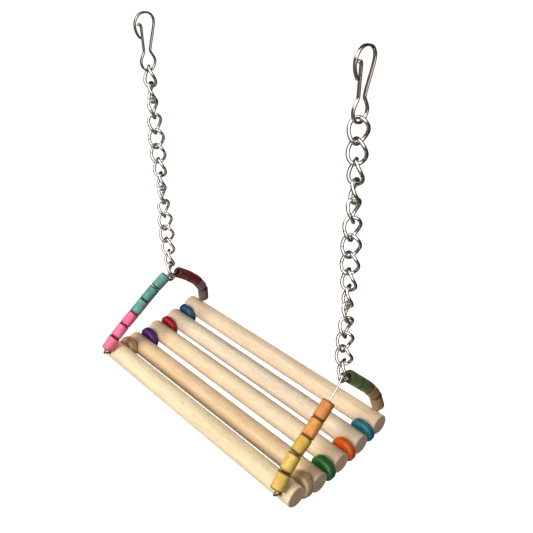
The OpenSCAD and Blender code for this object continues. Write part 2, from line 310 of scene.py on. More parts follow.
class NodeGraph:
    """Adds and links nodes in one shader or geometry tree."""

    def __init__(self, tree: bpy.types.NodeTree) -> None:
        """Keeps the tree that the nodes go into."""
        self.tree = tree

    def add(self, kind: str, inputs: Optional[dict[Union[int, str], Any]] = None,
            **settings: Any) -> bpy.types.Node:
        """Adds a node.

        Args:
            kind: The node's type.
            inputs: Values or sockets for its inputs, by name or number.
            settings: The node's own properties.

        Returns:
            The new node.
        """
        node = self.tree.nodes.new(kind)
        for name, value in settings.items():
            setattr(node, name, value)
        for key, value in (inputs or {}).items():
            self.feed(node.inputs[key], value)
        return node

    def feed(self, socket: Socket, value: Any) -> None:
        """Gives an input what it reads.

        Args:
            socket: The input.
            value: A socket to link into it, or its plain value.
        """
        if isinstance(value, Socket):
            self.tree.links.new(value, socket)
        else:
            socket.default_value = value

    def math(self, operation: str, a: Number, b: Number = 0.0, c: Number = 0.0) -> Socket:
        """Works on numbers.

        Args:
            operation: The operation's name.
            a: The first number.
            b: The second number.
            c: The third number.

        Returns:
            The result.
        """
        node = self.add("ShaderNodeMath", operation=operation)
        for socket, value in zip(node.inputs, (a, b, c)):
            self.feed(socket, value)
        return node.outputs[0]

    def ramp(self, value: Number, low: Number, high: Number, to_low: Number = 0.0,
             to_high: Number = 1.0) -> Socket:
        """Carries a number smoothly from one range to another, and clamps it.

        Args:
            value: The number.
            low: Where the change starts.
            high: Where it ends.
            to_low: The result below it.
            to_high: The result above it.

        Returns:
            The result.
        """
        return self.add("ShaderNodeMapRange", {
            "Value": value, "From Min": low, "From Max": high, "To Min": to_low,
            "To Max": to_high}, interpolation_type="SMOOTHSTEP").outputs["Result"]

    def dot(self, way: Socket, toward: Triple) -> Socket:
        """How far a direction points toward another, from -1 to 1."""
        return self.add("ShaderNodeVectorMath", {0: way, 1: Vector(toward).normalized()},
                        operation="DOT_PRODUCT").outputs["Value"]

    def split(self, vector: Socket) -> bpy.types.NodeOutputs:
        """The three parts of a vector."""
        return self.add("ShaderNodeSeparateXYZ", {0: vector}).outputs

    def noise(self, vector: Socket, scale: Number, detail: float, roughness: float = 0.5,
              distortion: float = 0.0) -> Socket:
        """Noise from 0 to 1.

        Args:
            vector: Where it is read.
            scale: Its waves in a metre.
            detail: How many finer layers it has.
            roughness: How strong these are.
            distortion: How far it is warped.

        Returns:
            The noise.
        """
        return self.add("ShaderNodeTexNoise", {
            "Vector": vector, "Scale": scale, "Detail": detail, "Roughness": roughness,
            "Distortion": distortion}).outputs["Fac"]


class GeometryTree(NodeGraph):
    """A geometry node tree with named inputs, ending in one material."""

    def __init__(self, name: str, sizes: dict[str, str]) -> None:
        """Makes the tree.

        Args:
            name: The tree's name.
            sizes: The type of each named input.
        """
        super().__init__(bpy.data.node_groups.new(name, "GeometryNodeTree"))
        face = self.tree.interface
        face.new_socket("Geometry", in_out="OUTPUT", socket_type="NodeSocketGeometry")
        face.new_socket("Geometry", in_out="INPUT", socket_type="NodeSocketGeometry")
        for label, kind in sizes.items():
            face.new_socket(label, in_out="INPUT", socket_type=kind)
        face.new_socket("Finish", in_out="INPUT", socket_type="NodeSocketMaterial")
        self.given = self.add("NodeGroupInput").outputs

    def circle(self, sides: Number, radius: Number) -> Socket:
        """A round line with a number of sides."""
        return self.add("GeometryNodeCurvePrimitiveCircle",
                        {"Resolution": sides, "Radius": radius}).outputs[0]

    def box(self, width: Number, height: Number) -> Socket:
        """A four-cornered line."""
        return self.add("GeometryNodeCurvePrimitiveQuadrilateral",
                        {"Width": width, "Height": height}).outputs[0]

    def sweep(self, line: Socket, section: Socket, capped: bool = False) -> Socket:
        """The surface that a section makes along a line."""
        return self.add("GeometryNodeCurveToMesh", {
            0: line, "Profile Curve": section, "Fill Caps": capped}).outputs[0]

    def store(self, geometry: Socket, name: str, value: Socket, **kind: str) -> Socket:
        """The geometry with a value kept on it as an attribute."""
        return self.add("GeometryNodeStoreNamedAttribute",
                        {0: geometry, "Name": name, "Value": value}, **kind).outputs[0]

    def close(self, geometry: Socket) -> "GeometryTree":
        """Ends the tree: instances made real, shaded smooth, one material set.

        Args:
            geometry: What the tree has made.

        Returns:
            The tree itself.
        """
        real = self.add("GeometryNodeRealizeInstances", {0: geometry})
        smooth = self.add("GeometryNodeSetShadeSmooth", {0: real.outputs[0]})
        dressed = self.add("GeometryNodeSetMaterial",
                           {0: smooth.outputs[0], "Material": self.given["Finish"]})
        self.add("NodeGroupOutput", {0: dressed.outputs[0]})
        return self

    def make(self, name: str, carrier: bpy.types.Mesh,
             values: dict[str, Any]) -> bpy.types.Object:
        """Runs the tree once and keeps its result as a plain mesh.

        Args:
            name: The new piece's name.
            carrier: The mesh that the tree works on.
            values: A value for each named input.

        Returns:
            The piece, at the origin, with no modifier on it.
        """
        worker = put_in_scene("worker", carrier)
        modifier = worker.modifiers.new("tree", "NODES")
        modifier.node_group = self.tree
        for item in self.tree.interface.items_tree:
            if item.in_out == "INPUT" and item.name in values:
                modifier[item.identifier] = values[item.name]
        done = worker.evaluated_get(bpy.context.evaluated_depsgraph_get())
        mesh = bpy.data.meshes.new_from_object(done)
        mesh.name = name
        bpy.data.objects.remove(worker)
        bpy.data.meshes.remove(carrier)
        return put_in_scene(name, mesh)


def twisted_link_tree(squareness: float = 0.9, seam_rings: float = 1.4) -> GeometryTree:
    """The tree that bends a wire into one twisted link with a butt seam.

    Args:
        squareness: The power of the sine that gives the width: less is squarer.
        seam_rings: How many rings the seam's dip takes on each side.

    Returns:
        The tree.
    """
    tree = GeometryTree("twisted_link", {
        "Length": FLOAT, "Width": FLOAT, "Wire": FLOAT, "Twist": FLOAT, "Heading": FLOAT,
        "Middle": VECTOR, "Rings": COUNT, "Sides": COUNT, "Seam Depth": FLOAT})
    given, work = tree.given, tree.math
    half_length = work("MULTIPLY", work("SUBTRACT", given["Length"], given["Wire"]), 0.5)
    half_width = work("MULTIPLY", work("SUBTRACT", given["Width"], given["Wire"]), 0.5)
    run = work("DIVIDE", tree.add("GeometryNodeInputIndex").outputs[0], given["Rings"])
    angle = work("MULTIPLY", run, 2 * math.pi)
    rise, sine = work("COSINE", angle), work("SINE", angle)
    swell = work("POWER", work("ABSOLUTE", sine), squareness)
    across = work("MULTIPLY", work("MULTIPLY", work("SIGN", sine), swell), half_width)
    turn = work("SUBTRACT", given["Heading"],
                work("MULTIPLY", work("MULTIPLY", given["Twist"], rise), 0.5))
    spot = tree.add("ShaderNodeCombineXYZ", {
        0: work("MULTIPLY", across, work("COSINE", turn)),
        1: work("MULTIPLY", across, work("SINE", turn)),
        2: work("MULTIPLY", rise, half_length)})
    placed = tree.add("ShaderNodeVectorMath", {0: spot.outputs[0], 1: given["Middle"]},
                      operation="ADD")
    bent = tree.add("GeometryNodeSetPosition", {
        0: tree.circle(given["Rings"], 1.0), "Position": placed.outputs[0]})
    off_seam = work("ABSOLUTE", work("SUBTRACT", run, SEAM_AT))
    dip = tree.ramp(off_seam, 0.0, work("DIVIDE", seam_rings, given["Rings"]),
                    work("SUBTRACT", 1.0, given["Seam Depth"]), 1.0)
    sized = tree.add("GeometryNodeSetCurveRadius", {0: bent.outputs[0], "Radius": dip})
    marked = tree.store(sized.outputs[0], "run", run, domain="POINT")
    section = tree.circle(given["Sides"], work("MULTIPLY", given["Wire"], 0.5))
    return tree.close(tree.sweep(marked, section))


def round_wire_tree() -> GeometryTree:
    """The tree that sweeps a round wire along a line of points.

    Returns:
        The tree.
    """
    tree = GeometryTree("round_wire", {"Wire": FLOAT, "Sides": COUNT})
    line = tree.add("GeometryNodeMeshToCurve", {0: tree.given["Geometry"]})
    section = tree.circle(tree.given["Sides"], tree.math("MULTIPLY", tree.given["Wire"], 0.5))
    return tree.close(tree.sweep(line.outputs[0], section, capped=True))


def bent_strip_tree() -> GeometryTree:
    """The tree that sweeps a flat strip with broken edges along a line of points.

    Returns:
        The tree.
    """
    tree = GeometryTree("bent_strip", {"Width": FLOAT, "Thickness": FLOAT, "Edge": FLOAT})
    given = tree.given
    line = tree.add("GeometryNodeMeshToCurve", {0: given["Geometry"]})
    turned = tree.add("GeometryNodeSetCurveNormal",
                      {0: line.outputs[0], "Normal": (1.0, 0.0, 0.0)}, mode="FREE")
    eased = tree.add("GeometryNodeFilletCurve", {
        0: tree.box(given["Width"], given["Thickness"]), "Count": 3,
        "Radius": given["Edge"]}, mode="POLY")
    return tree.close(tree.sweep(turned.outputs[0], eased.outputs[0], capped=True))


def threaded_turning_tree(tone_seed: int = 40) -> GeometryTree:
    """The tree that turns one bored bead and threads a copy on each point.

    The copies keep their own coordinates in the attribute grain and a number
    of their own in the attribute tone.

    Args:
        tone_seed: What is added to the seed for the tone's numbers.

    Returns:
        The tree.
    """
    tree = GeometryTree("threaded_turning", {
        "Diameter": FLOAT, "Length": FLOAT, "Bore": FLOAT, "Edge": FLOAT, "Bore Edge": FLOAT,
        "Sides": COUNT, "Seed": COUNT})
    given, work = tree.given, tree.math
    wall = work("MULTIPLY", work("SUBTRACT", given["Diameter"], given["Bore"]), 0.5)
    middle = work("MULTIPLY", work("ADD", given["Diameter"], given["Bore"]), 0.25)
    place = tree.add("GeometryNodeInputPosition").outputs[0]
    edge = tree.add("GeometryNodeSwitch", {
        "Switch": work("GREATER_THAN", tree.split(place)[0], 0.0),
        "False": given["Bore Edge"], "True": given["Edge"]}, input_type="FLOAT")
    eased = tree.add("GeometryNodeFilletCurve", {
        0: tree.box(wall, given["Length"]), "Count": 7, "Radius": edge.outputs[0],
        "Limit Radius": True}, mode="POLY")
    cut = tree.add("GeometryNodeSubdivideCurve", {0: eased.outputs[0], "Cuts": 1})
    turned = tree.sweep(tree.circle(given["Sides"], middle), cut.outputs[0])
    bead = tree.store(turned, "grain", place, domain="POINT", data_type="FLOAT_VECTOR")
    axis = tree.add("GeometryNodeInputNamedAttribute", {"Name": "axis"},
                    data_type="FLOAT_VECTOR")
    heading = tree.add("FunctionNodeAlignRotationToVector",
                       {"Vector": axis.outputs["Attribute"]}, axis="Z")
    # Inputs 2 and 3 of a random number are the least and the most that it can be
    spin = tree.add("FunctionNodeRandomValue", {3: 2 * math.pi, "Seed": given["Seed"]},
                    data_type="FLOAT")
    rolled = tree.add("FunctionNodeAxisAngleToRotation",
                      {"Axis": (0.0, 0.0, 1.0), "Angle": spin.outputs[1]})
    aimed = tree.add("FunctionNodeRotateRotation",
                     {0: heading.outputs[0], 1: rolled.outputs[0]}, rotation_space="LOCAL")
    threaded = tree.add("GeometryNodeInstanceOnPoints", {
        "Points": given["Geometry"], "Instance": bead, "Rotation": aimed.outputs[0]})
    tone = tree.add("FunctionNodeRandomValue",
                    {"Seed": work("ADD", given["Seed"], tone_seed)}, data_type="FLOAT")
    return tree.close(tree.store(threaded.outputs[0], "tone", tone.outputs[1],
                                 domain="INSTANCE"))


class ShaderGroups:
    """The shader node groups that several finishes share, each built once."""

    def __init__(self) -> None:
        """Builds every group."""
        self.wood_grain = self._wood_grain()
        self.handling = self._handling()

    @staticmethod
    def _open(name: str, inputs: dict[str, str],
              outputs: Sequence[str]) -> tuple[NodeGraph, bpy.types.NodeOutputs]:
        """Starts a shader group.

        Args:
            name: The group's name.
            inputs: The type of each named input.
            outputs: The names of its outputs, all plain numbers.

        Returns:
            The graph to add nodes to, and what the group is given.
        """
        tree = bpy.data.node_groups.new(name, "ShaderNodeTree")
        for label, kind in inputs.items():
            tree.interface.new_socket(label, in_out="INPUT", socket_type=kind)
        for label in outputs:
            tree.interface.new_socket(label, in_out="OUTPUT", socket_type=FLOAT)
        graph = NodeGraph(tree)
        return graph, graph.add("NodeGroupInput").outputs

    def _wood_grain(self) -> bpy.types.NodeTree:
        """Long streaks, fine pores and slow drift of wood, with the grain along Z.

        Returns:
            The group.
        """
        graph, given = self._open("wood_grain", {
            "Vector": VECTOR, "Streaks": FLOAT, "Pores": FLOAT, "Stretch": FLOAT,
            "Seed": FLOAT}, ("Streak", "Pore", "Drift"))
        parts = graph.split(given["Vector"])
        squeezed = graph.add("ShaderNodeCombineXYZ", {
            0: graph.math("ADD", parts[0], given["Seed"]), 1: parts[1],
            2: graph.math("DIVIDE", parts[2], given["Stretch"])}).outputs[0]
        shorter = graph.add("ShaderNodeMapping", {
            "Vector": squeezed, "Scale": (1.0, 1.0, 4.0)}).outputs[0]
        streak = graph.noise(squeezed, given["Streaks"], detail=5.0, roughness=0.62,
                             distortion=0.25)
        pore = graph.noise(shorter, given["Pores"], detail=3.0, roughness=0.7)
        drift = graph.noise(squeezed, graph.math("MULTIPLY", given["Streaks"], 0.22),
                            detail=2.0)
        graph.add("NodeGroupOutput", {
            "Streak": graph.ramp(streak, 0.34, 0.68), "Pore": graph.ramp(pore, 0.52, 0.72),
            "Drift": graph.ramp(drift, 0.3, 0.7)})
        return graph.tree

    def _handling(self) -> bpy.types.NodeTree:
        """Faint smudges, hairline scratches and small dents from use.

        Returns:
            The group.
        """
        graph, given = self._open("handling", {
            "Vector": VECTOR, "Smudges": FLOAT, "Scratches": FLOAT},
            ("Smudge", "Scratch", "Dent"))
        skewed = graph.add("ShaderNodeMapping", {
            "Vector": given["Vector"], "Rotation": (0.5, 0.9, 0.3),
            "Scale": (1.0, 0.09, 1.0)}).outputs[0]
        smudge = graph.noise(given["Vector"], given["Smudges"], detail=4.0, roughness=0.6)
        scratch = graph.noise(skewed, given["Scratches"], detail=2.0, roughness=0.8)
        dent = graph.add("ShaderNodeTexVoronoi", {
            "Vector": given["Vector"], "Scale": given["Smudges"]}, feature="SMOOTH_F1")
        graph.add("NodeGroupOutput", {
            "Smudge": graph.ramp(smudge, 0.35, 0.7), "Scratch": graph.ramp(scratch, 0.58, 0.7),
            "Dent": graph.ramp(dent.outputs["Distance"], 0.0, 0.5)})
        return graph.tree


class Surface(NodeGraph):
    """One material: a graph that ends in a Principled surface."""

    def __init__(self, name: str, **plain: float) -> None:
        """Makes the material.

        Args:
            name: The material's name.
            plain: Values of the surface's own sockets that are the same all over.
        """
        self.material = bpy.data.materials.new(name)
        self.material.use_nodes = True
        super().__init__(self.material.node_tree)
        self.tree.nodes.clear()
        self.shader = self.add("ShaderNodeBsdfPrincipled")
        self.add("ShaderNodeOutputMaterial", {0: self.shader.outputs[0]})
        for label, value in plain.items():
            self.shader.inputs[label.replace("_", " ")].default_value = value

    def put(self, label: str, value: Socket) -> None:
        """Feeds one of the shader's inputs."""
        self.feed(self.shader.inputs[label], value)

    def group(self, tree: bpy.types.NodeTree,
              inputs: dict[Union[int, str], Any]) -> bpy.types.NodeOutputs:
        """Places a shared shader group and gives its outputs."""
        return self.add("ShaderNodeGroup", inputs, node_tree=tree).outputs

    def attribute(self, name: str, output: str = "Fac") -> Socket:
        """One of the mesh's own attributes."""
        return self.add("ShaderNodeAttribute", attribute_name=name).outputs[output]

    def blend(self, share: Number, low: Tint, high: Tint) -> Socket:
        """Mixes two colours.

        Args:
            share: The second colour's share.
            low: The first colour.
            high: The second colour.

        Returns:
            The mixed colour.
        """
        node = self.add("ShaderNodeMix", {"Factor": share}, data_type="RGBA")
        for socket, tint in ((node.inputs[6], low), (node.inputs[7], high)):
            self.feed(socket, (*tint, 1.0) if isinstance(tint, tuple) else tint)
        return node.outputs[2]

    def stain(self, tone: Tint, mask: Socket, share: float, tint: Tint) -> Socket:
        """Lays up to a share of a tint over a tone, where a mask says."""
        return self.blend(self.math("MULTIPLY", mask, share), tone, tint)

    def relief(self, depth: float, *layers: tuple[Socket, float]) -> None:
        """Raises the surface by the sum of its layers.

        Args:
            depth: The height of a whole layer in metres.
            layers: Each mask and its share of the height.
        """
        height: Number = 0.0
        for mask, share in layers:
            height = self.math("MULTIPLY_ADD", mask, share, height)
        bump = self.add("ShaderNodeBump", {
            "Height": height, "Distance": depth, "Strength": 1.0})
        self.put("Normal", bump.outputs[0])


@dataclass(frozen=True)
class DowelWood:
    """Bare sanded wood of one dowel, with end grain at both ends."""

    name: str
    pale: Triple
    deep: Triple
    seed: float
    centre: Vector
    # The slow drift's colour, as shares of the deep colour's channels
    warmth: Triple = (0.82, 0.72, 0.6)
    pore: Triple = linear(168, 128, 88)
    handled: Triple = linear(176, 140, 104)
    end_pale: Triple = linear(246, 215, 184)
    end_deep: Triple = linear(196, 164, 136)
    # The year rings' middle, off the dowel's own, and their waves, in metres
    pith: tuple[float, float] = (-0.004, -0.009)
    ring_waves: float = 3600.0
    relief_depth: float = 0.00022

    def build(self, groups: ShaderGroups) -> bpy.types.Material:
        """The dowel's material, with the grain along X.

        Args:
            groups: The shared shader groups.

        Returns:
            The finished material.
        """
        surface = Surface(self.name, Specular_IOR_Level=0.32)
        place = surface.add("ShaderNodeTexCoord").outputs
        local = surface.add("ShaderNodeMapping", {
            "Vector": place["Object"], "Location": tuple(self.centre),
            "Rotation": (math.radians(SIZES.bench_tilt), 0.0, 0.0)},
            vector_type="TEXTURE").outputs[0]
        along = surface.add("ShaderNodeMapping", {
            "Vector": local, "Rotation": (0.0, math.radians(90), 0.0)}).outputs[0]
        grain = surface.group(groups.wood_grain, {
            "Vector": along, "Streaks": 800.0, "Pores": 1500.0, "Stretch": 16.0,
            "Seed": self.seed})
        wear = surface.group(groups.handling, {
            "Vector": local, "Smudges": 90.0, "Scratches": 900.0})
        warm = tuple(channel * share for channel, share in zip(self.deep, self.warmth))
        tone = surface.stain(self.pale, grain["Streak"], 0.55, self.deep)
        tone = surface.stain(tone, grain["Drift"], 0.28, warm)
        tone = surface.stain(tone, grain["Pore"], 0.4, self.pore)
        tone = surface.stain(tone, wear["Smudge"], 0.1, self.handled)
        facing = surface.math("ABSOLUTE", surface.split(place["Normal"])[0])
        end_tone = surface.blend(self._year_rings(surface, local), self.end_pale, self.end_deep)
        surface.put("Base Color", surface.blend(surface.ramp(facing, 0.45, 0.85), tone, end_tone))
        surface.put("Roughness", surface.ramp(grain["Streak"], 0.0, 1.0, 0.5, 0.64))
        surface.relief(self.relief_depth, (grain["Streak"], 0.35), (grain["Pore"], -0.5))
        return surface.material

    def _year_rings(self, surface: Surface, local: Socket) -> Socket:
        """The year rings of the sawn ends.

        Args:
            surface: The material that they are in.
            local: The dowel's own coordinates.

        Returns:
            Their mask.
        """
        parts = surface.split(local)
        flat = surface.add("ShaderNodeCombineXYZ", {
            1: surface.math("SUBTRACT", parts[1], self.pith[0]),
            2: surface.math("SUBTRACT", parts[2], self.pith[1])})
        radius = surface.add("ShaderNodeVectorMath", {0: flat.outputs[0]}, operation="LENGTH")
        wobble = surface.noise(local, scale=260.0, detail=3.0)
        phase = surface.math("MULTIPLY_ADD", radius.outputs["Value"], self.ring_waves,
                             surface.math("MULTIPLY", wobble, 4.0))
        ring = surface.ramp(surface.math("SINE", phase), -0.6, 1.0)
        return surface.math("MULTIPLY_ADD", ring, 0.55, surface.math("MULTIPLY", wobble, 0.4))


@dataclass(frozen=True)
class DyedWood:
    """Dye on a turned bead of wood: the grain shows through; the darker rims are more dye on the
    end grain and painted shade where beads meet.
    """

    name: str
    light: Triple
    dark: Triple
    rim: Triple
    half_length: float
    roughness: float = 0.38
    coat: float = 0.0
    seed: float = 0.0
    # How far from the bead's end the darker rim of dye and painted shade starts and is full, in
    # metres
    rim_start: float = 0.0014
    rim_full: float = 0.0003
    relief_depth: float = 0.00012

    def build(self, groups: ShaderGroups) -> bpy.types.Material:
        """The bead's material, on the bead's own coordinates.

        Args:
            groups: The shared shader groups.

        Returns:
            The finished material.
        """
        surface = Surface(self.name, Specular_IOR_Level=0.5, Coat_Weight=self.coat,
                          Coat_Roughness=0.18)
        own, number = surface.attribute("grain", "Vector"), surface.attribute("tone")
        grain = surface.group(groups.wood_grain, {
            "Vector": own, "Streaks": 900.0, "Pores": 3000.0, "Stretch": 9.0,
            "Seed": surface.math("MULTIPLY_ADD", number, 0.37, self.seed)})
        wear = surface.group(groups.handling, {
            "Vector": own, "Smudges": 260.0, "Scratches": 2200.0})
        rise = surface.math("ABSOLUTE", surface.split(own)[2])
        rim = surface.ramp(rise, self.half_length - self.rim_start,
                           self.half_length - self.rim_full)
        tone = surface.stain(self.light, grain["Streak"], 0.55, self.dark)
        tone = surface.stain(tone, wear["Smudge"], 0.35, self.dark)
        tone = surface.blend(surface.ramp(number, 0.0, 1.0, 0.0, 0.4), tone, self.dark)
        # Darker rims at both ends: more dye on the end grain, and painted shade where beads meet
        tone = surface.stain(tone, rim, 0.85, self.rim)
        surface.put("Base Color", surface.stain(tone, grain["Pore"], 0.3, self.rim))
        surface.put("Roughness", surface.ramp(wear["Smudge"], 0.0, 1.0, self.roughness - 0.07,
                                              self.roughness + 0.09))
        surface.relief(self.relief_depth, (grain["Streak"], 0.3), (grain["Pore"], -0.6))
        return surface.material


@dataclass(frozen=True)
class BrightMetal:
    """Bright plated or drawn metal with drawing marks and handling wear."""

    name: str
    bright: Triple
    dull: Triple
    roughness: float
    marks: float
    seam: bool = False
    # Whether beads are threaded on the wire; its bead runs then get painted shade
    threaded: bool = False
    # The dark line of a link's seam, and its half width as a share of the wire's way
    seam_tone: Triple = linear(40, 34, 30)
    seam_width: float = 0.012
    # Painted shade: the wire's darker grey inside and between the beads, at its feet and inside
    # the dowels
    painted_shade_tone: Triple = linear(128, 108, 90)
    relief_depth: float = 0.00003

    def build(self, groups: ShaderGroups) -> bpy.types.Material:
        """The metal's material.

        Args:
            groups: The shared shader groups.

        Returns:
            The finished material.
        """
        surface = Surface(self.name, Metallic=1.0)
        wear = surface.group(groups.handling, {
            "Vector": surface.add("ShaderNodeTexCoord").outputs["Object"],
            "Smudges": 160.0, "Scratches": self.marks})
        tone = surface.stain(self.bright, wear["Smudge"], 0.5, self.dull)
        if self.seam:
            off = surface.math("ABSOLUTE",
                               surface.math("SUBTRACT", surface.attribute("run"), SEAM_AT))
            tone = surface.blend(surface.ramp(off, 0.0, self.seam_width, 0.85, 0.0), tone,
                                 self.seam_tone)
        # Painted shade: the wire darkens along its bead runs, its gaps and foot included
        if self.threaded:
            tone = surface.blend(surface.attribute("painted_shade"), tone, self.painted_shade_tone)
        surface.put("Base Color", tone)
        scuffed = surface.math("MULTIPLY_ADD", wear["Scratch"], 0.06, self.roughness)
        surface.put("Roughness", surface.math("MULTIPLY_ADD", wear["Smudge"], 0.08, scuffed))
        surface.relief(self.relief_depth, (wear["Dent"], 1.0), (wear["Scratch"], 0.4))
        return surface.material


Finish = Union[DowelWood, DyedWood, BrightMetal]


def settle(piece: bpy.types.Object, body: str, slot: str, node: str) -> None:
    """Hangs a finished piece on its body and hides the part node that it stands for.

    Args:
        piece: The piece, in its place.
        body: The body that it rides on.
        slot: The record's material slot that it belongs to; not used.
        node: The node that it stands for.
    """
    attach(piece, body)
    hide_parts(node)
    LOG.info("%s rides on %s, %d faces", piece.name, body, len(piece.data.polygons))


@dataclass
class HangingChain:
    """One chain of fifteen twisted links, each on a body of its own."""

    side: Side
    tree: GeometryTree
    finish: bpy.types.Material
    rings: int = 84
    sides: int = 16
    seam_depth: float = 0.1

    def build(self) -> None:
        """Makes the links from the top to the bottom."""
        for number in range(1, SIZES.link_count + 1):
            self._link(number)

    def _link(self, number: int) -> None:
        """Bends one link and hangs it in its place.

        Args:
            number: The link's number from the top, from 1.
        """
        word = self.side.word
        drop = SIZES.link_length / 2 + (number - 1) * SIZES.pitch
        middle = Vector((self.side.value * SIZES.chain_x, 0.0,
                         SIZES.top_z(self.side) - SIZES.hang_z - drop))
        piece = self.tree.make(f"{word}_twisted_link_{number}", path_mesh([]), {
            "Length": SIZES.link_length * MM, "Width": SIZES.link_width * MM,
            "Wire": SIZES.link_wire * MM, "Twist": math.radians(SIZES.link_twist),
            "Heading": math.radians(SIZES.link_heading(self.side, number)),
            "Middle": middle * MM, "Rings": self.rings, "Sides": self.sides,
            "Seam Depth": self.seam_depth, "Finish": self.finish})
        settle(piece, f"{word}_chain_{number}", "chain_nickel", f"{word}_link_{number}")


@dataclass
class StripClip:
    """A spring clip bent from one flat strip, on the clips' body."""

    side: Side
    tree: GeometryTree
    finish: bpy.types.Material
    edge: float = 0.3
    steps: int = 6
    # Middle line from the gate tip round the eye to the hook lip: distance
    # behind the chain and rise above the eye floor
    line: tuple[tuple[float, float], ...] = (
        (-4.8, 27.5), (-3.7, 28.3), (-2.7, 27.2), (-2.5, 24.1), (-2.5, 18.4), (-2.4, 13.2),
        (-2.6, 11.0), (-4.1, 8.5), (-5.3, 5.6), (-4.9, 2.9), (-3.1, 0.5), (-1.2, -0.55),
        (1.2, -0.55), (3.1, 0.5), (4.9, 2.9), (5.3, 5.6), (3.8, 8.7), (2.4, 11.0),
        (2.9, 14.1), (4.6, 19.4), (6.3, 24.6), (7.1, 28.0), (6.8, 31.0), (4.8, 33.5),
        (1.6, 34.6), (-2.1, 34.35), (-5.1, 32.3), (-6.8, 29.3), (-7.0, 26.1), (-6.2, 23.2),
        (-4.9, 20.9), (-4.0, 19.8))

    def build(self) -> None:
        """Bends the strip round its line and hangs it in its place."""
        word = self.side.word
        floor = SIZES.top_z(self.side) - SIZES.link_wire - SIZES.clip_play - SIZES.hang_z
        lean = SIZES.right_clip_lean if self.side is Side.RIGHT else 0.0
        place = (Matrix.Translation((self.side.value * SIZES.chain_x, 0.0, floor))
                 @ Matrix.Rotation(math.radians(-lean), 4, "X"))
        points = [(place @ Vector((0.0, behind, rise))) * MM for behind, rise in self.line]
        bent = path_mesh(spline(points, self.steps))
        piece = self.tree.make(f"{word}_strip_clip", bent, {
            "Width": SIZES.clip_width * MM, "Thickness": SIZES.clip_thickness * MM,
            "Edge": self.edge * MM, "Finish": self.finish})
        settle(piece, "clips", "clip_nickel", f"{word}_clip")


@dataclass(frozen=True)
class BeadRun:
    """Beads of one colour on a leg, counted up from the dowel."""

    leg: Leg
    tier: Tier
    first: int
    last: int
    slot: str

    @property
    def bead_length(self) -> float:
        """Length of each bead."""
        return SIZES.low_bead_length if self.tier is Tier.LOW else SIZES.high_bead_length


